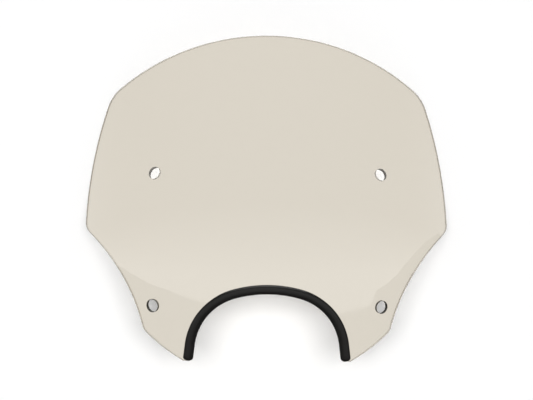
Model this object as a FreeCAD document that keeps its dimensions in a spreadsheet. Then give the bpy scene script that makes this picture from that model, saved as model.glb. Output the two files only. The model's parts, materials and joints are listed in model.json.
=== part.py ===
import FreeCAD, Part
import math
import os
import Sketcher

# Motorcycle windshield: a formed plastic sheet with a rubber channel on its headlamp arch.
# X runs to the right as seen from the front, Y to the rear and Z up, in millimetres.
# The origin is the middle of the headlamp arch at its foot, level with the sheet's foremost line.

SIZES = {
    # the sheet's form
    "sheet_thickness": 4.5,
    "plan_radius": 260,
    "bend_radius": 190,
    "bend_height": 103,
    "upper_lean": 22,
    "lower_sweep": 8.5,
    # the sheet's outline, seen from the front
    "top_height": 363.5,
    "top_radius": 276,
    "upper_corner_width": 361,
    "upper_corner_radius": 42,
    "side_radius": 450,
    "side_corner_width": 415,
    "side_corner_height": 143,
    "side_corner_radius": 14,
    "flank_radius": 196,
    "knee_width": 274,
    "knee_height": 33,
    "knee_radius": 12,
    "lower_edge_radius": 200,
    "foot_width": 184,
    # the headlamp arch
    "arch_width": 169.4,
    "arch_height": 77,
    "arch_top_radius": 130.5,
    "arch_shoulder_radius": 64.8,
    "arch_flare": 7.2,
    # the mounting holes
    "hole_diameter": 14,
    "hole_spacing": 254,
    "upper_hole_height": 206.5,
    "lower_hole_height": 59.5,
    # the rubber channel and the polished edges
    "trim_wall": 2.2,
    "trim_web": 2.5,
    "trim_lip": 8.3,
    "trim_round": 4.2,
    "trim_end_radius": 3.5,
    "edge_radius": 0.6,
}

# The blank stands past the finished outline: a share of the height above and below, an angle sideways.
BLANK_SHARE = 0.15
BLANK_ANGLE = 68

# Two points this close are taken as one when edges are picked.
NEAR = 1e-4

ORIGIN = (-1, 1)
ACROSS_AXIS = -1
UPRIGHT_AXIS = -2
START, END, CENTRE = range(1, 4)

document = FreeCAD.newDocument("windshield")


def make_sheet():
    """Put every driving dimension in a named cell."""
    sheet = document.addObject("Spreadsheet::Sheet", "Sizes")
    for row, (alias, number) in enumerate(SIZES.items(), start=1):
        sheet.set(f"A{row}", alias)
        sheet.set(f"B{row}", str(number))
        sheet.setAlias(f"B{row}", alias)
    document.recompute()
    return sheet


sizes = make_sheet()


def size(alias):
    """The number in a cell, for starting points and for finding edges."""
    return float(getattr(sizes, alias))


# Sketch helpers


def dimension(sketch, kind, places, name, expression):
    """Add a named dimension that follows an expression of the sheet's cells."""
    start = sizes.evalExpression(expression)
    if kind == "Angle":
        start = math.radians(float(sizes.evalExpression(expression)))
        expression = f"({expression}) * 1 deg"
    index = sketch.addConstraint(Sketcher.Constraint(kind, *places, float(start)))
    sketch.renameConstraint(index, name)
    sketch.setExpression("Constraints." + name, expression)


def join(sketch, kind, first, second):
    """Join two ends, given as (piece, end), with a Coincident or a Tangent constraint."""
    sketch.addConstraint(Sketcher.Constraint(kind, *first, *second))


def line(sketch, start, end):
    return sketch.addGeometry(Part.LineSegment(FreeCAD.Vector(*start), FreeCAD.Vector(*end)))


def arc(sketch, start, end, radius):
    """An arc of less than half a turn that runs anticlockwise from start to end."""
    start, end = FreeCAD.Vector(*start), FreeCAD.Vector(*end)
    chord = end - start
    left = FreeCAD.Vector(-chord.y, chord.x, 0).normalize()
    centre = (start + end) / 2 + left * math.sqrt(radius ** 2 - chord.Length ** 2 / 4)
    first = math.atan2(start.y - centre.y, start.x - centre.x)
    last = math.atan2(end.y - centre.y, end.x - centre.x)
    if last < first:
        last += 2 * math.pi
    circle = Part.Circle(centre, FreeCAD.Vector(0, 0, 1), radius)
    return sketch.addGeometry(Part.ArcOfCircle(circle, first, last))


def mirrored(point):
    return (-point[0], *point[1:])


def top_point(sketch, piece, height):
    """Hold an arc at a height on the upright axis."""
    mark = sketch.addGeometry(Part.Point(FreeCAD.Vector(0, float(sizes.evalExpression(height)), 0)))
    sketch.addConstraint(Sketcher.Constraint("PointOnObject", mark, START, UPRIGHT_AXIS))
    sketch.addConstraint(Sketcher.Constraint("PointOnObject", mark, START, piece))
    dimension(sketch, "DistanceY", (*ORIGIN, mark, START), "top", height)


def front_sketch(body, name):
    """A sketch on a body's front plane, with X across and Z up."""
    sketch = body.newObject("Sketcher::SketchObject", name)
    plane = next(item for item in body.Origin.OriginFeatures if item.Role == "XZ_Plane")
    sketch.AttachmentSupport = [(plane, "")]
    sketch.MapMode = "FlatFace"
    return sketch


# The formed face: an arc in plan, carried down a lean, a bend and a sweep


def side_profile(name, gap):
    """The centre line seen from the side, a gap in front of the sheet: a lean, a bend and a sweep."""
    sketch = document.addObject("Sketcher::SketchObject", name)
    sketch.Placement.Rotation = FreeCAD.Rotation(FreeCAD.Vector(1, 1, 1), 120)
    radius = size("bend_radius") + float(sizes.evalExpression(gap))
    lean, sweep = math.radians(size("upper_lean")), math.radians(size("lower_sweep"))
    centre = FreeCAD.Vector(size("bend_radius"), size("bend_height"), 0)
    upper = centre + FreeCAD.Vector(-math.cos(lean), math.sin(lean), 0) * radius
    lower = centre + FreeCAD.Vector(-math.cos(sweep), -math.sin(sweep), 0) * radius
    run = size("top_height")
    top = upper + FreeCAD.Vector(math.sin(lean), math.cos(lean), 0) * run
    bottom = lower + FreeCAD.Vector(math.sin(sweep), -math.cos(sweep), 0) * run

    leaning = line(sketch, upper, top)
    bend = arc(sketch, upper, lower, radius)
    swept = line(sketch, bottom, lower)
    join(sketch, "Tangent", (leaning, START), (bend, START))
    join(sketch, "Tangent", (bend, END), (swept, END))
    dimension(sketch, "Radius", (bend,), "bend", f"Sizes.bend_radius + {gap}")
    dimension(sketch, "DistanceX", (*ORIGIN, bend, CENTRE), "bend_back", "Sizes.bend_radius")
    dimension(sketch, "DistanceY", (*ORIGIN, bend, CENTRE), "bend_up", "Sizes.bend_height")
    dimension(sketch, "Angle", (leaning,), "lean", "90 - Sizes.upper_lean")
    dimension(sketch, "Angle", (swept,), "sweep", "90 + Sizes.lower_sweep")
    dimension(sketch, "DistanceY", (*ORIGIN, leaning, END), "blank_top",
              f"Sizes.top_height * {1 + BLANK_SHARE}")
    dimension(sketch, "DistanceY", (swept, START, *ORIGIN), "blank_foot",
              f"Sizes.top_height * {BLANK_SHARE}")
    return sketch


def plan_arc(name, gap):
    """The arc of the sheet in plan, square to the leaning line at its upper end."""
    sketch = document.addObject("Sketcher::SketchObject", name)
    radius = size("plan_radius") + float(sizes.evalExpression(gap))
    reach = math.radians(BLANK_ANGLE)
    side = (radius * math.sin(reach), radius * (1 - math.cos(reach)), 0)
    front = arc(sketch, mirrored(side), side, radius)
    sketch.addConstraint(
        Sketcher.Constraint("Symmetric", front, START, front, END, UPRIGHT_AXIS))
    dimension(sketch, "Radius", (front,), "plan", f"Sizes.plan_radius + {gap}")
    dimension(sketch, "DistanceY", (*ORIGIN, front, CENTRE), "front", f"Sizes.plan_radius + {gap}")
    dimension(sketch, "DistanceX", (front, START, front, END), "blank_width",
              f"2 * (Sizes.plan_radius + {gap}) * sin({BLANK_ANGLE})")
    up = f"(Sizes.top_height * {1 + BLANK_SHARE})"
    start_up = f"(Sizes.bend_height + (Sizes.bend_radius + {gap}) * sin(Sizes.upper_lean))"
    start_back = f"(Sizes.bend_radius - (Sizes.bend_radius + {gap}) * cos(Sizes.upper_lean))"
    back = f"{start_back} + ({up} - {start_up}) * tan(Sizes.upper_lean)"
    place = f"placement(vector(0; {back}; {up}); rotationx(-Sizes.upper_lean))"
    sketch.setExpression("Placement", place)
    return sketch


def formed_face(name, gap):
    path = side_profile(name + "_profile", gap)
    section = plan_arc(name + "_plan", gap)
    document.recompute()
    sweep = document.addObject("Part::Sweep", name)
    sweep.Sections = [section]
    sweep.Spine = (path, [f"Edge{number + 1}" for number in range(len(path.Shape.Edges))])
    sweep.Solid = False
    sweep.Frenet = False
    return sweep


# Outlines seen from the front, as prisms that run through the sheet from front to rear


def pad_through(body, sketch, name):
    pad = body.newObject("PartDesign::Pad", name)
    pad.Profile = sketch
    pad.SideType = "Symmetric"
    pad.setExpression("Length", "2 * Sizes.side_corner_width")
    document.recompute()
    return pad


def pocket_through(body, sketch, name):
    pocket = body.newObject("PartDesign::Pocket", name)
    pocket.Profile = sketch
    pocket.SideType = "Symmetric"
    pocket.setExpression("Length", "3 * Sizes.side_corner_width")
    document.recompute()
    return pocket


def round_corners(body, name, chosen, radius):
    """Round the fore-and-aft ridges of a prism that stand where a test on their X and Z chooses."""
    base = body.Tip
    names = []
    for number, edge in enumerate(base.Shape.Edges, start=1):
        first, last = edge.Vertexes[0].Point, edge.Vertexes[-1].Point
        runs_back = abs(first.x - last.x) < NEAR and abs(first.z - last.z) < NEAR
        if runs_back and chosen(first.x, first.z):
            names.append(f"Edge{number}")
    fillet = body.newObject("PartDesign::Fillet", name)
    fillet.Base = (base, names)
    fillet.setExpression("Radius", radius)
    document.recompute()


def outline_sketch(body):
    """The sheet's outline with sharp corners and no arch, drawn anticlockwise from its right foot."""
    sketch = front_sketch(body, "outline")
    half_corner = size("upper_corner_width") / 2
    shoulder_drop = size("top_radius") - math.sqrt(size("top_radius") ** 2 - half_corner ** 2)
    foot = (size("foot_width") / 2, 0, 0)
    knee = (size("knee_width") / 2, size("knee_height"), 0)
    side = (size("side_corner_width") / 2, size("side_corner_height"), 0)
    upper = (half_corner, size("top_height") - shoulder_drop, 0)

    right_lower = arc(sketch, foot, knee, size("lower_edge_radius"))
    right_flank = arc(sketch, side, knee, size("flank_radius"))
    right_side = arc(sketch, side, upper, size("side_radius"))
    top = arc(sketch, upper, mirrored(upper), size("top_radius"))
    left_side = arc(sketch, mirrored(upper), mirrored(side), size("side_radius"))
    left_flank = arc(sketch, mirrored(knee), mirrored(side), size("flank_radius"))
    left_lower = arc(sketch, mirrored(knee), mirrored(foot), size("lower_edge_radius"))
    base = line(sketch, mirrored(foot), foot)

    corners = [
        ((base, END), (right_lower, START)),
        ((right_lower, END), (right_flank, END)),
        ((right_flank, START), (right_side, START)),
        ((right_side, END), (top, START)),
        ((top, END), (left_side, START)),
        ((left_side, END), (left_flank, END)),
        ((left_flank, START), (left_lower, START)),
        ((left_lower, END), (base, START)),
    ]
    for first, second in corners:
        join(sketch, "Coincident", first, second)
    pairs = [
        ((right_lower, START), (left_lower, END)),
        ((right_lower, END), (left_lower, START)),
        ((right_side, START), (left_side, END)),
        ((right_side, END), (left_side, START)),
    ]
    for first, second in pairs:
        sketch.addConstraint(Sketcher.Constraint("Symmetric", *first, *second, UPRIGHT_AXIS))
    twins = [(right_lower, left_lower), (right_flank, left_flank), (right_side, left_side)]
    for first, second in twins:
        sketch.addConstraint(Sketcher.Constraint("Equal", first, second))

    sketch.addConstraint(Sketcher.Constraint("PointOnObject", base, END, ACROSS_AXIS))
    dimension(sketch, "DistanceX", (*ORIGIN, base, END), "foot", "Sizes.foot_width / 2")
    dimension(sketch, "DistanceX", (*ORIGIN, right_lower, END), "knee_out", "Sizes.knee_width / 2")
    dimension(sketch, "DistanceY", (*ORIGIN, right_lower, END), "knee_up", "Sizes.knee_height")
    dimension(sketch, "DistanceX", (*ORIGIN, right_side, START), "side_out",
              "Sizes.side_corner_width / 2")
    dimension(sketch, "DistanceY", (*ORIGIN, right_side, START), "side_up", "Sizes.side_corner_height")
    dimension(sketch, "DistanceX", (*ORIGIN, top, START), "upper_out", "Sizes.upper_corner_width / 2")
    dimension(sketch, "Radius", (right_lower,), "lower_edge", "Sizes.lower_edge_radius")
    dimension(sketch, "Radius", (right_flank,), "flank", "Sizes.flank_radius")
    dimension(sketch, "Radius", (right_side,), "side", "Sizes.side_radius")
    dimension(sketch, "Radius", (top,), "crown", "Sizes.top_radius")
    top_point(sketch, top, "Sizes.top_height")
    return sketch


def arch_sketch(body, name, offset):
    """The headlamp arch, an offset outside the sheet's cut edge: legs, shoulders and a flat crown."""
    sketch = front_sketch(body, name)
    shift = float(sizes.evalExpression(offset))
    flare = math.radians(size("arch_flare"))
    shoulder_radius = size("arch_shoulder_radius") + shift
    crown_radius = size("arch_top_radius") + shift
    crown = FreeCAD.Vector(0, size("arch_height") + shift - crown_radius, 0)
    foot = FreeCAD.Vector(size("arch_width") / 2 + shift / math.cos(flare), 0, 0)
    # the shoulder's centre lies on a line beside the leg, at a known distance from the crown's centre
    along = FreeCAD.Vector(-math.sin(flare), math.cos(flare), 0)
    inward = FreeCAD.Vector(-math.cos(flare), -math.sin(flare), 0)
    beside = foot + inward * shoulder_radius - crown
    short_of = beside.dot(along)
    reach = crown_radius - shoulder_radius
    slide = math.sqrt(short_of ** 2 - beside.dot(beside) + reach ** 2) - short_of
    knuckle = foot + along * slide
    centre = knuckle + inward * shoulder_radius
    spring = centre + (centre - crown).normalize() * shoulder_radius

    base = line(sketch, mirrored(foot), foot)
    right_leg = line(sketch, foot, knuckle)
    right_shoulder = arc(sketch, knuckle, spring, shoulder_radius)
    top = arc(sketch, spring, mirrored(spring), crown_radius)
    left_shoulder = arc(sketch, mirrored(spring), mirrored(knuckle), shoulder_radius)
    left_leg = line(sketch, mirrored(knuckle), mirrored(foot))
    join(sketch, "Coincident", (base, END), (right_leg, START))
    join(sketch, "Coincident", (base, START), (left_leg, END))
    join(sketch, "Tangent", (right_leg, END), (right_shoulder, START))
    join(sketch, "Tangent", (right_shoulder, END), (top, START))
    join(sketch, "Tangent", (top, END), (left_shoulder, START))
    join(sketch, "Tangent", (left_shoulder, END), (left_leg, START))
    sketch.addConstraint(Sketcher.Constraint("PointOnObject", base, END, ACROSS_AXIS))
    for first, second in (((base, START), (base, END)), ((left_leg, START), (right_leg, END))):
        sketch.addConstraint(Sketcher.Constraint("Symmetric", *first, *second, UPRIGHT_AXIS))
    sketch.addConstraint(Sketcher.Constraint("Equal", left_shoulder, right_shoulder))
    half = f"Sizes.arch_width / 2 + ({offset}) / cos(Sizes.arch_flare)"
    dimension(sketch, "DistanceX", (*ORIGIN, base, END), "foot", half)
    dimension(sketch, "Angle", (right_leg,), "flare", "90 + Sizes.arch_flare")
    dimension(sketch, "Radius", (right_shoulder,), "shoulder",
              f"Sizes.arch_shoulder_radius + ({offset})")
    dimension(sketch, "Radius", (top,), "crown", f"Sizes.arch_top_radius + ({offset})")
    top_point(sketch, top, f"Sizes.arch_height + ({offset})")
    return sketch


def sheet_outline():
    """The finished outline of the sheet, its corners rounded and the arch taken out."""
    body = document.addObject("PartDesign::Body", "sheet_outline")
    pad_through(body, outline_sketch(body), "outline_prism")
    for corner in ("upper_corner", "side_corner", "knee"):
        half_width = size(corner + "_width") / 2
        round_corners(body, corner + "s", lambda x, z: math.isclose(abs(x), half_width, abs_tol=NEAR),
                      f"Sizes.{corner}_radius")
    pocket_through(body, arch_sketch(body, "arch", "0"), "arch_opening")
    return body


def trim_outline():
    """The band that the channel covers, from its lip on the sheet to its web inside the arch."""
    body = document.addObject("PartDesign::Body", "trim_outline")
    pad_through(body, arch_sketch(body, "lip_line", "Sizes.trim_lip"), "lip_prism")
    pocket_through(body, arch_sketch(body, "web_line", "-Sizes.trim_web"), "web_opening")
    round_corners(body, "ends", lambda x, z: abs(z) < NEAR, "Sizes.trim_end_radius")
    return body


# The pieces


def thick_panel(name, face, outline, thickness):
    """Cut a face to its outline and thicken it to the rear, with the edges square to the face."""
    trimmed = document.addObject("Part::Common", name + "_face")
    trimmed.Base = face
    trimmed.Tool = outline
    document.recompute()
    panel = document.addObject("Part::Offset", name)
    panel.Source = trimmed
    panel.Fill = True
    panel.setExpression("Value", f"-({thickness})")
    document.recompute()
    return panel


def hole_tool(name, side, height, lean):
    """A round cutter through the sheet, square to its face at a height on one side of the middle."""
    out = f"({side} * Sizes.hole_spacing / 2)"
    turn = f"asin({out} / Sizes.plan_radius)"
    radius = f"(Sizes.bend_radius - Sizes.plan_radius * (1 - cos({turn})))"
    rise = f"({height} - Sizes.bend_height - {radius} * sin({lean}))"
    back = f"Sizes.bend_radius - {radius} * cos({lean}) + {rise} * tan({lean})"
    tool = document.addObject("Part::Cylinder", name)
    tool.setExpression("Radius", "Sizes.hole_diameter / 2")
    tool.setExpression("Height", "6 * Sizes.sheet_thickness")
    facing = f"rotationx(-{lean}) * rotationz({turn}) * rotationx(90)"
    place = f"placement(vector({out}; {back}; {height}); {facing})"
    inset = "placement(vector(0; 0; -3 * Sizes.sheet_thickness); rotationx(0))"
    tool.setExpression("Placement", f"{place} * {inset}")
    return tool


def rim_edges(shape):
    """The edges between a panel's broad front or rear face and its cut edge."""
    broad = (Part.Cylinder, Part.SurfaceOfRevolution, Part.OffsetSurface)
    rims = []
    for number, edge in enumerate(shape.Edges, start=1):
        faces = shape.ancestorsOfType(edge, Part.Face)
        if len({isinstance(face.Surface, broad) for face in faces}) == 2:
            rims.append(f"Edge{number}")
    return rims


def round_rims(body, name, radius):
    base = body.Tip
    fillet = body.newObject("PartDesign::Fillet", name)
    fillet.Base = (base, rim_edges(base.Shape))
    fillet.setExpression("Radius", radius)
    document.recompute()


def body_from(name, base):
    body = document.addObject("PartDesign::Body", name)
    body.BaseFeature = base
    document.recompute()
    return body


def make_windscreen(panel):
    """Polish the rims of the formed sheet and drill it."""
    polished = body_from("polished_sheet", panel)
    round_rims(polished, "polished_rims", "Sizes.edge_radius")
    tools = []
    leans = {"upper": "(Sizes.upper_lean)", "lower": "(-Sizes.lower_sweep)"}
    for word, side in (("left", -1), ("right", 1)):
        for level, lean in leans.items():
            tools.append(hole_tool(f"{level}_{word}_hole", side, f"Sizes.{level}_hole_height", lean))
    drills = document.addObject("Part::MultiFuse", "holes")
    drills.Shapes = tools
    windscreen = document.addObject("Part::Cut", "windscreen")
    windscreen.Base = polished
    windscreen.Tool = drills
    document.recompute()
    return windscreen


def make_edge_trim(block, panel):
    """Round the channel to a bead and groove it for the sheet."""
    bead = body_from("trim_bead", block)
    round_rims(bead, "bead_round", "Sizes.trim_round")
    trim = document.addObject("Part::Cut", "edge_trim")
    trim.Base = bead
    trim.Tool = panel
    document.recompute()
    return trim


def check(pieces):
    for item in document.Objects:
        if "Invalid" in item.State or "Error" in item.State:
            raise RuntimeError(f"{item.Name} failed: {item.State}")
    for piece in pieces:
        if piece.Shape.isNull() or not piece.Shape.isValid():
            raise RuntimeError(f"{piece.Name} has no valid shape")


sheet_face = formed_face("sheet_face", "0")
panel = thick_panel("sheet_panel", sheet_face, sheet_outline(), "Sizes.sheet_thickness")
windscreen = make_windscreen(panel)

trim_face = formed_face("trim_face", "Sizes.trim_wall")
channel_depth = "Sizes.sheet_thickness + 2 * Sizes.trim_wall"
block = thick_panel("trim_block", trim_face, trim_outline(), channel_depth)
edge_trim = make_edge_trim(block, panel)

PIECES = [windscreen, edge_trim]
check(PIECES)
os.makedirs("parts", exist_ok=True)
for piece in PIECES:
    piece.Label = piece.Name
    piece.Shape.exportStep(f"parts/{piece.Label}.step")
    box = piece.Shape.BoundBox
    print(f"{piece.Label}: {len(piece.Shape.Solids)} solid, {piece.Shape.Volume / 1000:.2f} cm3,",
          f"{box.XLength:.1f} x {box.YLength:.1f} x {box.ZLength:.1f} mm")
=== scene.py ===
import json
import math

import bmesh
import bpy
from mathutils import Matrix, Vector
from mathutils.geometry import intersect_sphere_sphere_2d


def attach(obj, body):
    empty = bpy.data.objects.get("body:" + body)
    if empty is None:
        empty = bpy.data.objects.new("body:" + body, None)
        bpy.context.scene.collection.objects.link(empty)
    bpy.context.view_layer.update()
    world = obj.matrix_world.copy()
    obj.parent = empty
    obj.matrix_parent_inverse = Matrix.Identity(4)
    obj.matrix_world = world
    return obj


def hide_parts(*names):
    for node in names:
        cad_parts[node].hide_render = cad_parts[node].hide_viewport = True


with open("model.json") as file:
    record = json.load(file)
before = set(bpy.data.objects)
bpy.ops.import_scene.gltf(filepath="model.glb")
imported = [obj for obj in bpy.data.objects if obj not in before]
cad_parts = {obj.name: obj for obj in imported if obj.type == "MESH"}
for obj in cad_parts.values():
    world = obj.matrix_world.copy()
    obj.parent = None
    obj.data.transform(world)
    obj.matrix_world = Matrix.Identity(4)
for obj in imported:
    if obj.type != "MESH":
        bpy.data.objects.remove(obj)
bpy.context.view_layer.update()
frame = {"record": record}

MM = 0.001

# The sheet's form: a plan arc that leans back above a bend and sweeps back below it
SHEET_THICKNESS = 4.5 * MM
PLAN_RADIUS = 260 * MM
BEND_RADIUS = 190 * MM
BEND_HEIGHT = 103 * MM
UPPER_LEAN = math.radians(22)
LOWER_SWEEP = math.radians(8.5)

# The sheet's outline, seen from the front
TOP_HEIGHT = 363.5 * MM
TOP_RADIUS = 276 * MM
UPPER_CORNER_WIDTH = 361 * MM
UPPER_CORNER_RADIUS = 42 * MM
SIDE_RADIUS = 450 * MM
SIDE_CORNER_WIDTH = 415 * MM
SIDE_CORNER_HEIGHT = 143 * MM
SIDE_CORNER_RADIUS = 14 * MM
FLANK_RADIUS = 196 * MM
KNEE_WIDTH = 274 * MM
KNEE_HEIGHT = 33 * MM
KNEE_RADIUS = 12 * MM
LOWER_EDGE_RADIUS = 200 * MM
FOOT_WIDTH = 184 * MM

# The headlamp arch in the sheet
ARCH_WIDTH = 169.4 * MM
ARCH_HEIGHT = 77 * MM
ARCH_TOP_RADIUS = 130.5 * MM
ARCH_SHOULDER_RADIUS = 64.8 * MM
ARCH_FLARE = math.radians(7.2)

# The mounting holes, which the record states, and the edges that are broken or rounded
HOLES = [mount for mount in frame["record"]["mounts"] if mount["kind"] == "bore"]
HOLE_EDGE_BREAK = 0.3 * MM
RIM_ROUND = 0.6 * MM

# The rubber channel over the arch's edge
TRIM_WALL = 2.2 * MM
TRIM_WEB = 2.5 * MM
TRIM_LIP = 8.3 * MM
TRIM_ROUND = 4.2 * MM
TRIM_END_RADIUS = 3.5 * MM
TRIM_CREASE = math.radians(40)

# How finely the pieces are divided
EDGE_STEP = 2.5 * MM
CORNER_STEP = 1.2 * MM
RIM_STRIP = 2.2 * MM
RIM_STEPS = 3
GRID_TURN = math.radians(1.2)
GRID_STEP = 5.5 * MM
FINE_FROM = 56 * MM
FINE_TO = 94 * MM
FINE_STEP = 1.5 * MM
HOLE_STEPS = 72
TRIM_STEPS = 8

# How near points are merged, and how squarely a broad face looks out
SNAP = 0.4 * MM
MERGE = 0.04 * MM
SLIVER = 0.03 * MM
BROAD_FACING = 0.9

# The plastic: tints of its faces, sawn edges and hole walls, and through its depth. The sawn edges' grey is
# partly their own dullness and partly painted shade for the dark line along the rims; the hole walls carry
# painted shade, near black low down and nearly clear higher up
FACE_TINT = (0.763, 0.725, 0.647, 1)
# The sawn edges' grey: partly the sanded edge's own dullness, partly painted shade for the dark line along
# the rims
EDGE_TINT_AND_PAINTED_SHADE = (0.55, 0.54, 0.52, 1)
# Painted shade on the hole walls: near black at the lower holes, fading to nearly clear at the upper ones
# over these heights
LOW_WALL_PAINTED_SHADE = (0.008, 0.0075, 0.0062, 1)
HIGH_WALL_TINT = (0.95, 0.94, 0.92, 1)
WALL_SHADE_CHANGE = (100 * MM, 150 * MM)
DEPTH_TINT = (0.947, 0.924, 0.8925, 1)
DEPTH_DENSITY = 150
PLASTIC_IOR = 1.5

# The plastic: roughness where it is wiped, sanded and drilled, and its faint waves
WIPED_ROUGHNESS = (0.008, 0.03)
WIPE_SIZE = 30 * MM
WIPE_DETAIL = 3
WIPE_STRETCH = (1, 1, 0.4)
SANDED_ROUGHNESS = (0.32, 0.46)
SCRATCH_SIZE = 0.5 * MM
SCRATCH_DETAIL = 2
SCRATCH_STRETCH = (1, 0.1, 1)
DRILLED_ROUGHNESS = 0.75
WAVE_SIZE = 60 * MM
WAVE_DETAIL = 1
WAVE_DEPTH = 0.008 * MM

# What the plastic lets through to its shadow: less at the foot, and nearly all at the top
SHADOW_FOOT = (0.18, 0.2, 0.24, 1)
SHADOW_BEND = (0.44, 0.46, 0.5, 1)
SHADOW_TOP = (0.97, 0.98, 1.0, 1)
FOOT_TO_BEND = (65 * MM, 95 * MM)
BEND_TO_TOP = (105 * MM, 190 * MM)

# The rubber: tints, sheen and grain
RUBBER_DEEP = (0.006, 0.0056, 0.005, 1)
RUBBER_WORN = (0.011, 0.0104, 0.0096, 1)
RUBBER_SPECULAR = 0.25
RUBBER_ROUGHNESS = (0.3, 0.42)
PATCH_SIZE = 9 * MM
PATCH_DETAIL = 3
SWELL_SIZE = 4 * MM
SWELL_DETAIL = 2
SWELL_DEPTH = 0.05 * MM
PORE_SIZE = 0.35 * MM
PORE_DETAIL = 2
PORE_DEPTH = 0.02 * MM

# The span of the grain's values in which nearly all of it lies
GRAIN_SPAN = (0.3, 0.7)

# The board that leans back behind the sheet
TABLE_LEAN = math.radians(4.5)
TABLE_GAP = 4 * MM
TABLE_REACH = 6
TABLE_WHITE = (0.95, 0.95, 0.95, 1)

# The lamp in front, the even light, and the camera
KEY_PLACE = (-0.05, -5.2, 0.45)
KEY_TARGET = (0, 0.1, 0.17)
KEY_WIDTH = 4.0
KEY_HEIGHT = 1.8
KEY_POWER = 241
AMBIENT = 0.3
WHITE = (1, 1, 1, 1)
LENS = 112.57
SENSOR = 36
CAMERA_PLACE = (-33.3 * MM, -1.8, 177 * MM)
CAMERA_TURN = (math.radians(90), math.radians(-0.46), math.radians(-0.986))

# What gloss mirrors: a light in front that fades upwards from a sill, and a light overhead
MIRROR_DARK = 0.1
MIRROR_PEAK = 1.4
GLOW_SPAN = (0.69, -0.13)
OVERHEAD = 4.2
OVERHEAD_SPAN = (0.78, 0.86)

# The sill of the light in front: nearly level in the middle, and rising at the sides to a far end
MIDDLE_SILL = -0.358
MIDDLE_SLANT = -0.0064
SIDE_SILL = 0.195
SIDE_SLANT = 0.153
SIDE_CLIMB = 1.28
SIDE_CLIMB_SLANT = 0.42
SIDE_TOP = 0.335
SIDE_ROUND = 0.5
FAR_SILL = 0.6
FAR_CLIMB = -0.8
SILL_ROUND = 0.2
SILL_BLUR = 0.0008


# The sheet's surface


def formed(across, height):
    """A point of the sheet's front face by its place seen from the front, and the way that it faces."""
    turn = math.asin(across / PLAN_RADIUS)
    reach = BEND_RADIUS - PLAN_RADIUS * (1 - math.cos(turn))
    slope = (height - BEND_HEIGHT) / reach
    tilt = math.asin(min(max(slope, -math.sin(LOWER_SWEEP)), math.sin(UPPER_LEAN)))
    past = height - BEND_HEIGHT - reach * math.sin(tilt)
    back = BEND_RADIUS - reach * math.cos(tilt) + past * math.tan(tilt)
    level = math.cos(turn)
    facing = Vector((math.sin(turn), -level * math.cos(tilt), level * math.sin(tilt)))
    return Vector((across, back, height)), facing


# What mesh operators take and make


def each_once(items):
    """Items in their order, without repeats."""
    return list(dict.fromkeys(items))


def verts_of(items):
    """The vertices among what an operator made."""
    return [item for item in items if isinstance(item, bmesh.types.BMVert)]


def edges_of(items):
    """The edges among what an operator made."""
    return [item for item in items if isinstance(item, bmesh.types.BMEdge)]


def add_left_half(bm):
    """Mirror the right half of a shape, and merge the halves where they meet."""
    half = bm.verts[:] + bm.edges[:] + bm.faces[:]
    bmesh.ops.mirror(bm, geom=half, matrix=Matrix(), merge_dist=MERGE, axis="X")
    bmesh.ops.remove_doubles(bm, verts=bm.verts, dist=MERGE)


# The outline: arcs that a point is spun along, seen from the front


def centre_left(start, end, radius):
    """The centre of the circle through two points that lies on the left of the way between them."""
    chord = end - start
    left = Vector((-chord.y, chord.x)).normalized()
    return (start + end) / 2 + left * math.sqrt(radius ** 2 - chord.length_squared / 4)


def nearest_crossing(first, first_radius, second, second_radius, near):
    """Where two circles cross, on the side of a point."""
    points = intersect_sphere_sphere_2d(first, first_radius, second, second_radius)
    return min(points, key=lambda point: (point - near).length)


def spin_to(bm, pen, centre, end, step):
    """Carry a line on from its last vertex round a centre to a point, and give its new last vertex."""
    arm = Vector((pen.co.x, pen.co.z)) - centre
    turn = arm.angle_signed(end - centre)
    steps = max(2, round(abs(turn) * arm.length / step))
    made = bmesh.ops.spin(bm, geom=[pen], cent=(centre.x, 0, centre.y), axis=(0, 1, 0),
                          angle=turn, steps=steps)
    return verts_of(made["geom_last"])[0]


def draw_to(bm, pen, end, step):
    """Carry a line on straight to a point, in even steps, and give its new last vertex."""
    way = Vector((end.x - pen.co.x, 0, end.y - pen.co.z))
    steps = max(1, round(way.length / step))
    for _ in range(steps):
        made = bmesh.ops.extrude_vert_indiv(bm, verts=[pen])
        pen = made["verts"][0]
        bmesh.ops.translate(bm, verts=[pen], vec=way / steps)
    return pen


def arch_points():
    """The arch's right half: its top's centre and end, its shoulder's centre and end, and its foot."""
    crown = Vector((0, ARCH_HEIGHT - ARCH_TOP_RADIUS))
    foot = Vector((ARCH_WIDTH / 2, 0))
    along = Vector((-math.sin(ARCH_FLARE), math.cos(ARCH_FLARE)))
    inward = Vector((-math.cos(ARCH_FLARE), -math.sin(ARCH_FLARE)))
    beside = foot + inward * ARCH_SHOULDER_RADIUS - crown
    lead = beside.dot(along)
    reach = ARCH_TOP_RADIUS - ARCH_SHOULDER_RADIUS
    knuckle = foot + along * (math.sqrt(lead ** 2 - beside.length_squared + reach ** 2) - lead)
    shoulder = knuckle + inward * ARCH_SHOULDER_RADIUS
    spring = crown + (shoulder - crown).normalized() * ARCH_TOP_RADIUS
    return crown, spring, shoulder, knuckle, foot


def draw_arch_half(bm):
    """The right half of the arch from its crown down to its foot; gives the last vertex."""
    crown, spring, shoulder, knuckle, foot = arch_points()
    pen = bm.verts.new((0, 0, ARCH_HEIGHT))
    pen = spin_to(bm, pen, crown, spring, EDGE_STEP)
    pen = spin_to(bm, pen, shoulder, knuckle, EDGE_STEP)
    return draw_to(bm, pen, foot, EDGE_STEP)


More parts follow.
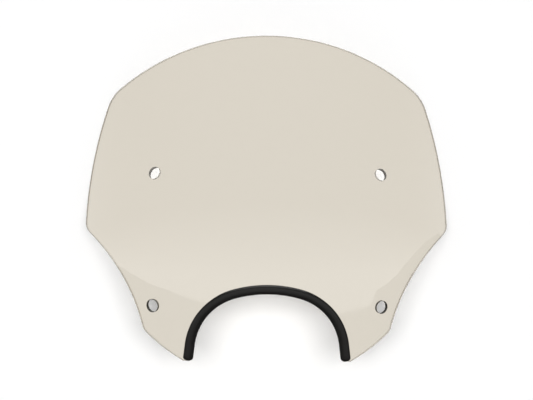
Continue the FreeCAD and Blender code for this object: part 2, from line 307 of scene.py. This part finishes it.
def draw_rim_half(bm, pen):
    """The right half of the outer edge, from the foot round the knee and both corners up to the top."""
    foot = Vector((FOOT_WIDTH / 2, 0))
    knee = Vector((KNEE_WIDTH / 2, KNEE_HEIGHT))
    side = Vector((SIDE_CORNER_WIDTH / 2, SIDE_CORNER_HEIGHT))
    half = UPPER_CORNER_WIDTH / 2
    upper = Vector((half, TOP_HEIGHT - TOP_RADIUS + math.sqrt(TOP_RADIUS ** 2 - half ** 2)))
    lower_centre = centre_left(foot, knee, LOWER_EDGE_RADIUS)
    flank_centre = centre_left(side, knee, FLANK_RADIUS)
    side_centre = centre_left(side, upper, SIDE_RADIUS)
    top_centre = Vector((0, TOP_HEIGHT - TOP_RADIUS))

    knee_centre = nearest_crossing(lower_centre, LOWER_EDGE_RADIUS - KNEE_RADIUS,
                                   flank_centre, FLANK_RADIUS + KNEE_RADIUS, knee)
    corner_centre = nearest_crossing(flank_centre, FLANK_RADIUS + SIDE_CORNER_RADIUS,
                                     side_centre, SIDE_RADIUS - SIDE_CORNER_RADIUS, side)
    shoulder_centre = nearest_crossing(side_centre, SIDE_RADIUS - UPPER_CORNER_RADIUS,
                                       top_centre, TOP_RADIUS - UPPER_CORNER_RADIUS, upper)

    def on(centre, radius, through):
        """The point of a circle on the ray from its centre through another point."""
        return centre + (through - centre).normalized() * radius

    pen = draw_to(bm, pen, foot, EDGE_STEP)
    pen = spin_to(bm, pen, lower_centre, on(lower_centre, LOWER_EDGE_RADIUS, knee_centre), EDGE_STEP)
    pen = spin_to(bm, pen, knee_centre, on(flank_centre, FLANK_RADIUS, knee_centre), CORNER_STEP)
    pen = spin_to(bm, pen, flank_centre, on(flank_centre, FLANK_RADIUS, corner_centre), EDGE_STEP)
    pen = spin_to(bm, pen, corner_centre, on(side_centre, SIDE_RADIUS, corner_centre), CORNER_STEP)
    pen = spin_to(bm, pen, side_centre, on(side_centre, SIDE_RADIUS, shoulder_centre), EDGE_STEP)
    pen = spin_to(bm, pen, shoulder_centre, on(top_centre, TOP_RADIUS, shoulder_centre), CORNER_STEP)
    spin_to(bm, pen, top_centre, Vector((0, TOP_HEIGHT)), EDGE_STEP)


# The sheet


def grid_heights():
    """The heights of the grid's rows, close together where the bend runs out and gloss shows it."""
    rows = [row * GRID_STEP for row in range(1, int(TOP_HEIGHT / GRID_STEP) + 1)]
    outside = [height for height in rows if not FINE_FROM < height < FINE_TO]
    count = round((FINE_TO - FINE_FROM) / FINE_STEP)
    return outside + [FINE_FROM + (FINE_TO - FINE_FROM) * row / count for row in range(count + 1)]


def grid_cuts():
    """A point and a direction for each plane that divides the sheet, across and upwards."""
    count = int(math.asin(SIDE_CORNER_WIDTH / 2 / PLAN_RADIUS) / GRID_TURN)
    places = [PLAN_RADIUS * math.sin(turn * GRID_TURN) for turn in range(-count, count + 1)]
    upright = [((across, 0, 0), (1, 0, 0)) for across in places]
    level = [((0, 0, height), (0, 0, 1)) for height in grid_heights()]
    return upright + level


def flat_blank():
    """The sheet's outline as a flat face seen from the front, with a strip round it and a grid inside."""
    bm = bmesh.new()
    draw_rim_half(bm, draw_arch_half(bm))
    add_left_half(bm)
    face = bmesh.ops.contextual_create(bm, geom=bm.edges[:])["faces"][0]
    if face.normal.y > 0:
        bmesh.ops.reverse_faces(bm, faces=[face])
    inset = bmesh.ops.inset_region(bm, faces=[face], thickness=RIM_STRIP, use_even_offset=True)
    strip = set(inset["faces"])
    for place, square in grid_cuts():
        inner = [face for face in bm.faces if face not in strip]
        touched = each_once(edge for face in inner for edge in face.edges)
        points = each_once(vert for face in inner for vert in face.verts)
        bmesh.ops.bisect_plane(bm, geom=inner + touched + points, dist=SNAP,
                               plane_co=place, plane_no=square)
    return bm


def is_broad(face):
    """True on the front and the rear of the sheet, False on a cut edge."""
    middle = face.calc_center_median()
    facing = formed(middle.x, middle.z)[1]
    return abs(face.normal.dot(facing)) > BROAD_FACING


def is_rim(edge):
    """True where a broad face meets a cut edge."""
    return edge.is_manifold and {is_broad(face) for face in edge.link_faces} == {True, False}


def formed_sheet():
    """The blank, formed, thickened to the rear and rounded along its rims."""
    bm = flat_blank()
    front = bm.verts[:]
    made = bmesh.ops.extrude_face_region(bm, geom=bm.faces[:], use_keep_orig=True)
    for vert in verts_of(made["geom"]):
        point, facing = formed(vert.co.x, vert.co.z)
        vert.co = point - facing * SHEET_THICKNESS
    for vert in front:
        vert.co = formed(vert.co.x, vert.co.z)[0]
    bmesh.ops.recalc_face_normals(bm, faces=bm.faces)
    rims = [edge for edge in bm.edges if is_rim(edge)]
    bmesh.ops.bevel(bm, geom=rims, offset=RIM_ROUND, offset_type="OFFSET", affect="EDGES",
                    segments=RIM_STEPS, profile=0.5, material=-1, clamp_overlap=True)
    return bm


def spun_cutter(bm, radius):
    """A cutter about the upright axis, flared where it meets the sheet's faces; the front one is at 0."""
    rear = -SHEET_THICKNESS
    flare = SHEET_THICKNESS
    wide = radius + HOLE_EDGE_BREAK + flare
    profile = [(0, flare), (wide, flare), (radius, -HOLE_EDGE_BREAK),
               (radius, rear + HOLE_EDGE_BREAK), (wide, rear - flare), (0, rear - flare)]
    points = [bm.verts.new((out, 0, up)) for out, up in profile]
    edges = [bm.edges.new(pair) for pair in zip(points, points[1:])]
    before = set(bm.verts) - set(points)
    bmesh.ops.spin(bm, geom=points + edges, cent=(0, 0, 0), axis=(0, 0, 1), angle=math.tau,
                   steps=HOLE_STEPS, use_merge=True)
    return [vert for vert in bm.verts if vert not in before]


def hole_cutter():
    """One cutter at each mounting hole, square to the sheet."""
    bm = bmesh.new()
    for hole in HOLES:
        axis = Vector(hole["axis"])
        front = Vector(hole["pos_m"]) + axis * SHEET_THICKNESS / 2
        verts = spun_cutter(bm, hole["dims"]["r_mm"] * MM)
        place = Matrix.Translation(front) @ axis.to_track_quat("Z", "Y").to_matrix().to_4x4()
        bmesh.ops.transform(bm, matrix=place, verts=verts)
    bmesh.ops.remove_doubles(bm, verts=bm.verts, dist=MERGE)
    bmesh.ops.recalc_face_normals(bm, faces=bm.faces)
    return bm


def piece_from(bm, name):
    """An object at the origin with the mesh of a bmesh, smooth shaded."""
    mesh = bpy.data.meshes.new(name)
    bm.to_mesh(mesh)
    bm.free()
    mesh.shade_smooth()
    piece = bpy.data.objects.new(name, mesh)
    bpy.context.scene.collection.objects.link(piece)
    return piece


def cut(piece, tool):
    """Take one piece's room out of another, and merge the slivers that this leaves."""
    taken = piece.modifiers.new("cut", "BOOLEAN")
    taken.operation = "DIFFERENCE"
    taken.solver = "EXACT"
    taken.object = tool
    graph = bpy.context.evaluated_depsgraph_get()
    result = bpy.data.meshes.new_from_object(piece.evaluated_get(graph))
    piece.modifiers.clear()
    old = piece.data
    piece.data = result
    bpy.data.meshes.remove(old)
    result.name = piece.name
    bm = bmesh.new()
    bm.from_mesh(result)
    bmesh.ops.remove_doubles(bm, verts=bm.verts, dist=SLIVER)
    bmesh.ops.dissolve_degenerate(bm, edges=bm.edges, dist=SLIVER)
    bm.to_mesh(result)
    bm.free()


def discard(piece):
    """Remove a piece that was only a tool, and its mesh."""
    mesh = piece.data
    bpy.data.objects.remove(piece)
    bpy.data.meshes.remove(mesh)


def in_a_hole(point):
    """True on the wall of a mounting hole."""
    for hole in HOLES:
        axis = Vector(hole["axis"])
        offset = point - Vector(hole["pos_m"])
        out = offset - axis * offset.dot(axis)
        if out.length < hole["dims"]["r_mm"] * MM + SHEET_THICKNESS / 2:
            return True
    return False


def mark_cut_edges(sheet):
    """Paint the cut edges, and the hole walls among them, in attributes for their finish and for the painted
    shade on them.
    """
    bm = bmesh.new()
    bm.from_mesh(sheet.data)
    bm.normal_update()
    sawn = bm.loops.layers.float.new("cut_edge")
    drilled = bm.loops.layers.float.new("hole_wall")
    for face in bm.faces:
        face.smooth = True
        is_cut = not is_broad(face)
        is_wall = is_cut and in_a_hole(face.calc_center_median())
        for loop in face.loops:
            loop[sawn] = float(is_cut)
            loop[drilled] = float(is_wall)
    bm.to_mesh(sheet.data)
    bm.free()


# The rubber channel: a round bead that follows the arch, with the sheet taken out of it


def bead_ring(bm):
    """The bead's section at the arch's crown, a box with round corners, as a closed line of edges."""
    low, high = ARCH_HEIGHT - TRIM_WEB, ARCH_HEIGHT + TRIM_LIP
    rear, front = -SHEET_THICKNESS - TRIM_WALL, TRIM_WALL
    corners = [(rear, low), (front, low), (front, high), (rear, high)]
    box = [bm.verts.new((0, out, up)) for out, up in corners]
    for pair in zip(box, box[1:] + box[:1]):
        bm.edges.new(pair)
    bmesh.ops.bevel(bm, geom=box, offset=TRIM_ROUND, offset_type="OFFSET", affect="VERTICES",
                    segments=TRIM_STEPS, profile=0.5, material=-1)
    return bm.edges[:]


def sweep_round(bm, ring, start, centre, end):
    """Carry a closed line round a centre, from one point as far as another; gives the line at its end."""
    arm = start - centre
    turn = arm.angle_signed(end - centre)
    steps = round(abs(turn) * arm.length / EDGE_STEP)
    points = each_once(vert for edge in ring for vert in edge.verts)
    made = bmesh.ops.spin(bm, geom=ring + points, cent=(centre.x, 0, centre.y), axis=(0, 1, 0),
                          angle=turn, steps=steps)
    return edges_of(made["geom_last"])


def sweep_on(bm, ring, way, scale=1.0):
    """Carry a closed line straight on, scaled about its middle; gives the line at its end."""
    made = bmesh.ops.extrude_edge_only(bm, edges=ring)["geom"]
    points = verts_of(made)
    middle = sum((vert.co for vert in points), Vector()) / len(points)
    bmesh.ops.scale(bm, vec=(scale, scale, scale), space=Matrix.Translation(-middle), verts=points)
    bmesh.ops.translate(bm, vec=way, verts=points)
    return [edge for edge in edges_of(made) if set(edge.verts) <= set(points)]


def round_off(bm, ring, ahead):
    """Close a bead with a round end."""
    width = (TRIM_LIP + TRIM_WEB) / 2
    gone = 0.0
    scale = 1.0
    for step in range(1, TRIM_STEPS + 1):
        turn = math.radians(90) * step / TRIM_STEPS
        reach = TRIM_END_RADIUS * math.sin(turn)
        size = 1 - TRIM_END_RADIUS * (1 - math.cos(turn)) / width
        ring = sweep_on(bm, ring, ahead * (reach - gone), size / scale)
        gone, scale = reach, size
    bmesh.ops.contextual_create(bm, geom=ring)


def formed_bead():
    """The bead over the whole arch, with round ends, formed like the sheet."""
    crown, spring, shoulder, knuckle, foot = arch_points()
    bm = bmesh.new()
    ring = sweep_round(bm, bead_ring(bm), Vector((0, ARCH_HEIGHT)), crown, spring)
    ring = sweep_round(bm, ring, spring, shoulder, knuckle)
    leg = foot - knuckle
    ahead = Vector((leg.x, 0, leg.y)).normalized()
    plain = leg.length - TRIM_END_RADIUS
    steps = round(plain / EDGE_STEP)
    for _ in range(steps):
        ring = sweep_on(bm, ring, ahead * plain / steps)
    round_off(bm, ring, ahead)
    add_left_half(bm)
    for vert in bm.verts:
        point, facing = formed(vert.co.x, vert.co.z)
        vert.co = point + facing * vert.co.y
    bmesh.ops.recalc_face_normals(bm, faces=bm.faces)
    return bm


# Shader nodes


def put(tree, value, socket):
    """Join another socket to a socket, or set it to a value."""
    if isinstance(value, bpy.types.NodeSocket):
        tree.links.new(value, socket)
    else:
        socket.default_value = value


def reckon(tree, operation, *values):
    """A sum of numbers and sockets; gives its socket."""
    node = tree.nodes.new("ShaderNodeMath")
    node.operation = operation
    for value, socket in zip(values, node.inputs):
        put(tree, value, socket)
    return node.outputs["Value"]


def straight(tree, value, climb, start):
    """A straight line: a start, and a climb for each unit of a value."""
    return reckon(tree, "MULTIPLY_ADD", value, climb, start)


def ranged(tree, value, low, high, from_low=0.0, from_high=1.0):
    """A value carried over from one range to another, held within it."""
    node = tree.nodes.new("ShaderNodeMapRange")
    put(tree, value, node.inputs["Value"])
    node.inputs["From Min"].default_value = from_low
    node.inputs["From Max"].default_value = from_high
    put(tree, low, node.inputs["To Min"])
    put(tree, high, node.inputs["To Max"])
    return node.outputs["Result"]


def blend(tree, factor, first, second):
    """A mix of two colours."""
    node = tree.nodes.new("ShaderNodeMix")
    node.data_type = "RGBA"
    put(tree, factor, node.inputs["Factor"])
    put(tree, first, node.inputs["A"])
    put(tree, second, node.inputs["B"])
    return node.outputs["Result"]


def mixed_shader(tree, factor, first, second):
    """A mix of two shaders."""
    node = tree.nodes.new("ShaderNodeMixShader")
    put(tree, factor, node.inputs[0])
    tree.links.new(first, node.inputs[1])
    tree.links.new(second, node.inputs[2])
    return node.outputs["Shader"]


def axes(tree, coordinates):
    """The three numbers of a texture coordinate."""
    place = tree.nodes.new("ShaderNodeTexCoord")
    split = tree.nodes.new("ShaderNodeSeparateXYZ")
    tree.links.new(place.outputs[coordinates], split.inputs["Vector"])
    return split.outputs["X"], split.outputs["Y"], split.outputs["Z"]


def grain_group():
    """A node group of noise with cells of about a size in metres, drawn out along the object's axes."""
    group = bpy.data.node_groups.new("surface_grain", "ShaderNodeTree")
    group.interface.new_socket("Size", in_out="INPUT", socket_type="NodeSocketFloat")
    group.interface.new_socket("Detail", in_out="INPUT", socket_type="NodeSocketFloat")
    group.interface.new_socket("Stretch", in_out="INPUT", socket_type="NodeSocketVector")
    group.interface.new_socket("Grain", in_out="OUTPUT", socket_type="NodeSocketFloat")
    given = group.nodes.new("NodeGroupInput")
    result = group.nodes.new("NodeGroupOutput")
    place = group.nodes.new("ShaderNodeTexCoord")
    drawn = group.nodes.new("ShaderNodeVectorMath")
    drawn.operation = "MULTIPLY"
    noise = group.nodes.new("ShaderNodeTexNoise")
    group.links.new(place.outputs["Object"], drawn.inputs[0])
    group.links.new(given.outputs["Stretch"], drawn.inputs[1])
    group.links.new(drawn.outputs["Vector"], noise.inputs["Vector"])
    group.links.new(reckon(group, "DIVIDE", 1.0, given.outputs["Size"]), noise.inputs["Scale"])
    group.links.new(given.outputs["Detail"], noise.inputs["Detail"])
    group.links.new(noise.outputs["Fac"], result.inputs["Grain"])
    return group


GRAIN = grain_group()


def grain(tree, size, detail, stretch=(1, 1, 1)):
    """The grain group in a material, with its own values; gives its socket."""
    node = tree.nodes.new("ShaderNodeGroup")
    node.node_tree = GRAIN
    node.inputs["Size"].default_value = size
    node.inputs["Detail"].default_value = detail
    node.inputs["Stretch"].default_value = stretch
    return node.outputs["Grain"]


def painted(tree, name):
    """A mask that is painted on the mesh."""
    node = tree.nodes.new("ShaderNodeAttribute")
    node.attribute_name = name
    return node.outputs["Fac"]


def relief(tree, height, depth, under=None):
    """A bump of a depth in metres, over another one if there is one."""
    node = tree.nodes.new("ShaderNodeBump")
    node.inputs["Distance"].default_value = depth
    put(tree, height, node.inputs["Height"])
    if under:
        tree.links.new(under, node.inputs["Normal"])
    return node.outputs["Normal"]


def new_material(name):
    """A material with nodes, and its tree."""
    material = bpy.data.materials.new(name)
    material.use_nodes = True
    return material, material.node_tree


# Materials


def sheet_plastic():
    """Lightly tinted clear plastic, wiped clean, with sanded cut edges and dull hole walls; the cut edges'
    grey is partly painted shade, and the lower hole walls are darkened with painted shade.
    """
    material, tree = new_material("light_tint_plastic")
    shader = tree.nodes["Principled BSDF"]
    output = tree.nodes["Material Output"]
    shader.inputs["IOR"].default_value = PLASTIC_IOR
    shader.inputs["Transmission Weight"].default_value = 1.0
    edge = painted(tree, "cut_edge")
    wall = painted(tree, "hole_wall")
    _, _, height = axes(tree, "Object")

    wiped = ranged(tree, grain(tree, WIPE_SIZE, WIPE_DETAIL, WIPE_STRETCH), *WIPED_ROUGHNESS, *GRAIN_SPAN)
    scratches = grain(tree, SCRATCH_SIZE, SCRATCH_DETAIL, SCRATCH_STRETCH)
    sanded = ranged(tree, scratches, *SANDED_ROUGHNESS, *GRAIN_SPAN)
    rough = ranged(tree, wall, ranged(tree, edge, wiped, sanded), DRILLED_ROUGHNESS)
    put(tree, rough, shader.inputs["Roughness"])

    # Painted shade on the hole walls, darker low down, and the sawn edges' grey, which is partly painted
    # shade
    upper = ranged(tree, height, 0.0, 1.0, *WALL_SHADE_CHANGE)
    wall_tint_and_painted_shade = blend(tree, upper, LOW_WALL_PAINTED_SHADE, HIGH_WALL_TINT)
    cut_tint_and_painted_shade = blend(tree, wall, EDGE_TINT_AND_PAINTED_SHADE, wall_tint_and_painted_shade)
    put(tree, blend(tree, edge, FACE_TINT, cut_tint_and_painted_shade), shader.inputs["Base Color"])
    waves = relief(tree, grain(tree, WAVE_SIZE, WAVE_DETAIL), WAVE_DEPTH)
    put(tree, waves, shader.inputs["Normal"])

    depth = tree.nodes.new("ShaderNodeVolumeAbsorption")
    depth.inputs["Color"].default_value = DEPTH_TINT
    depth.inputs["Density"].default_value = DEPTH_DENSITY
    tree.links.new(depth.outputs["Volume"], output.inputs["Volume"])

    path = tree.nodes.new("ShaderNodeLightPath")
    clear = tree.nodes.new("ShaderNodeBsdfTransparent")
    above_foot = ranged(tree, height, 0.0, 1.0, *FOOT_TO_BEND)
    above_bend = ranged(tree, height, 0.0, 1.0, *BEND_TO_TOP)
    shade = blend(tree, above_bend, blend(tree, above_foot, SHADOW_FOOT, SHADOW_BEND), SHADOW_TOP)
    put(tree, shade, clear.inputs["Color"])
    lit = mixed_shader(tree, path.outputs["Is Shadow Ray"], shader.outputs["BSDF"], clear.outputs["BSDF"])
    tree.links.new(lit, output.inputs["Surface"])
    return material


def trim_rubber():
    """Satin black rubber, finely grained and a little uneven in its sheen."""
    material, tree = new_material("satin_black_rubber")
    shader = tree.nodes["Principled BSDF"]
    shader.inputs["Specular IOR Level"].default_value = RUBBER_SPECULAR
    patches = grain(tree, PATCH_SIZE, PATCH_DETAIL)
    pores = grain(tree, PORE_SIZE, PORE_DETAIL)
    put(tree, blend(tree, patches, RUBBER_DEEP, RUBBER_WORN), shader.inputs["Base Color"])
    put(tree, ranged(tree, patches, *RUBBER_ROUGHNESS, *GRAIN_SPAN), shader.inputs["Roughness"])
    swell = relief(tree, grain(tree, SWELL_SIZE, SWELL_DETAIL), SWELL_DEPTH)
    put(tree, relief(tree, pores, PORE_DEPTH, swell), shader.inputs["Normal"])
    return material


# The studio


def seen_first(tree, *kinds):
    """1 for rays of these kinds that have met no dull surface yet."""
    path = tree.nodes.new("ShaderNodeLightPath")
    kind = path.outputs[kinds[0]]
    for other in kinds[1:]:
        kind = reckon(tree, "MAXIMUM", kind, path.outputs[other])
    unspent = reckon(tree, "LESS_THAN", path.outputs["Diffuse Depth"], 0.5)
    return reckon(tree, "MULTIPLY", kind, unspent)


def white_board():
    """A dull white that is plain white through clear plastic, and open from behind."""
    material, tree = new_material("white_board")
    tree.nodes.remove(tree.nodes["Principled BSDF"])
    board = tree.nodes.new("ShaderNodeBsdfDiffuse")
    board.inputs["Color"].default_value = TABLE_WHITE
    plain = tree.nodes.new("ShaderNodeEmission")
    away = tree.nodes.new("ShaderNodeBsdfTransparent")
    side = tree.nodes.new("ShaderNodeNewGeometry")
    through = seen_first(tree, "Is Transmission Ray")
    front = mixed_shader(tree, through, board.outputs["BSDF"], plain.outputs["Emission"])
    both = mixed_shader(tree, side.outputs["Backfacing"], front, away.outputs["BSDF"])
    tree.links.new(both, tree.nodes["Material Output"].inputs["Surface"])
    return material


def pale_table(piece):
    """A white board that stands close behind the piece and leans back."""
    slope = math.tan(TABLE_LEAN)
    back = max(vert.co.y - slope * vert.co.z for vert in piece.data.vertices) + TABLE_GAP
    bm = bmesh.new()
    standing = Matrix.Rotation(math.radians(90) - TABLE_LEAN, 4, "X")
    bmesh.ops.create_grid(bm, x_segments=1, y_segments=1, size=TABLE_REACH, matrix=standing)
    bmesh.ops.translate(bm, verts=bm.verts, vec=(0, back, 0))
    bm.normal_update()
    if bm.faces[:][0].normal.y > 0:
        bmesh.ops.reverse_faces(bm, faces=bm.faces[:])
    table = piece_from(bm, "pale_table")
    table.data.materials.append(white_board())
    table.visible_glossy = False


def mirrored_strength(tree):
    """How bright the studio looks in gloss: a soft light in front, cut off at its sill, and one overhead."""
    across, back, up = axes(tree, "Generated")
    square = reckon(tree, "MULTIPLY", across, across)
    ahead = reckon(tree, "SQRT", reckon(tree, "SUBTRACT", 1.0, square))
    rise = reckon(tree, "DIVIDE", up, straight(tree, ahead, 0.5, 0.5))
    glow = ranged(tree, rise, 0.0, MIRROR_PEAK, *GLOW_SPAN)

    middle_sill = straight(tree, across, MIDDLE_SLANT, MIDDLE_SILL)
    side_start = straight(tree, across, SIDE_SLANT, SIDE_SILL)
    side_climb = straight(tree, across, SIDE_CLIMB_SLANT, SIDE_CLIMB)
    side_line = straight(tree, back, side_climb, side_start)
    side_sill = reckon(tree, "SMOOTH_MIN", side_line, SIDE_TOP, SIDE_ROUND)
    far_line = straight(tree, back, FAR_CLIMB, FAR_SILL)
    far_sill = reckon(tree, "MINIMUM", side_sill, far_line)
    sill = reckon(tree, "SMOOTH_MAX", middle_sill, far_sill, SILL_ROUND)

    above = ranged(tree, reckon(tree, "SUBTRACT", rise, sill), 0.0, 1.0, -SILL_BLUR, SILL_BLUR)
    front = reckon(tree, "MULTIPLY_ADD", glow, above, MIRROR_DARK)
    overhead = ranged(tree, up, 0.0, OVERHEAD, *OVERHEAD_SPAN)
    return reckon(tree, "ADD", front, overhead)


def studio_world():
    """White where it is seen, soft lights where it is mirrored, and a low even light elsewhere."""
    world = bpy.data.worlds.new("studio")
    bpy.context.scene.world = world
    world.use_nodes = True
    tree = world.node_tree
    white = tree.nodes["Background"]
    mirrored = tree.nodes.new("ShaderNodeBackground")
    ambient = tree.nodes.new("ShaderNodeBackground")
    for light in (white, mirrored, ambient):
        light.inputs["Color"].default_value = WHITE
    ambient.inputs["Strength"].default_value = AMBIENT
    put(tree, mirrored_strength(tree), mirrored.inputs["Strength"])

    path = tree.nodes.new("ShaderNodeLightPath")
    unseen = mixed_shader(tree, path.outputs["Is Glossy Ray"], ambient.outputs[0], mirrored.outputs[0])
    seen = seen_first(tree, "Is Camera Ray", "Is Transmission Ray")
    shown = mixed_shader(tree, seen, unseen, white.outputs[0])
    tree.links.new(shown, tree.nodes["World Output"].inputs["Surface"])


def key_lamp():
    """A broad soft lamp far in front, which neither gloss nor clear plastic shows."""
    data = bpy.data.lights.new("key", "AREA")
    data.shape = "RECTANGLE"
    data.size = KEY_WIDTH
    data.size_y = KEY_HEIGHT
    data.energy = KEY_POWER
    lamp = bpy.data.objects.new("key", data)
    bpy.context.scene.collection.objects.link(lamp)
    lamp.location = KEY_PLACE
    lamp.rotation_mode = "QUATERNION"
    lamp.rotation_quaternion = (Vector(KEY_TARGET) - Vector(KEY_PLACE)).to_track_quat("-Z", "Y")
    lamp.visible_glossy = False
    lamp.visible_transmission = False


def photo_camera():
    """A long lens in front of the object, a little to the left, turned back to it and hardly rolled."""
    data = bpy.data.cameras.new("photo_camera")
    data.sensor_width = SENSOR
    data.lens = LENS
    camera = bpy.data.objects.new("photo_camera", data)
    bpy.context.scene.collection.objects.link(camera)
    camera.location = CAMERA_PLACE
    camera.rotation_euler = CAMERA_TURN
    bpy.context.scene.camera = camera


# The pieces

sheet = piece_from(formed_sheet(), "formed_windscreen")
trim = piece_from(formed_bead(), "rubber_channel")
cut(trim, sheet)
trim.data.set_sharp_from_angle(angle=TRIM_CREASE)
trim.data.materials.clear()
trim.data.materials.append(trim_rubber())
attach(trim, "root")
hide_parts("edge_trim")

drill = piece_from(hole_cutter(), "hole_cutter")
cut(sheet, drill)
discard(drill)
mark_cut_edges(sheet)
sheet.modifiers.new("even_normals", "WEIGHTED_NORMAL")
sheet.data.materials.clear()
sheet.data.materials.append(sheet_plastic())
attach(sheet, "root")
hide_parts("windscreen")

# The studio round them

pale_table(sheet)
studio_world()
key_lamp()
photo_camera()
bpy.context.scene.view_settings.view_transform = "Standard"
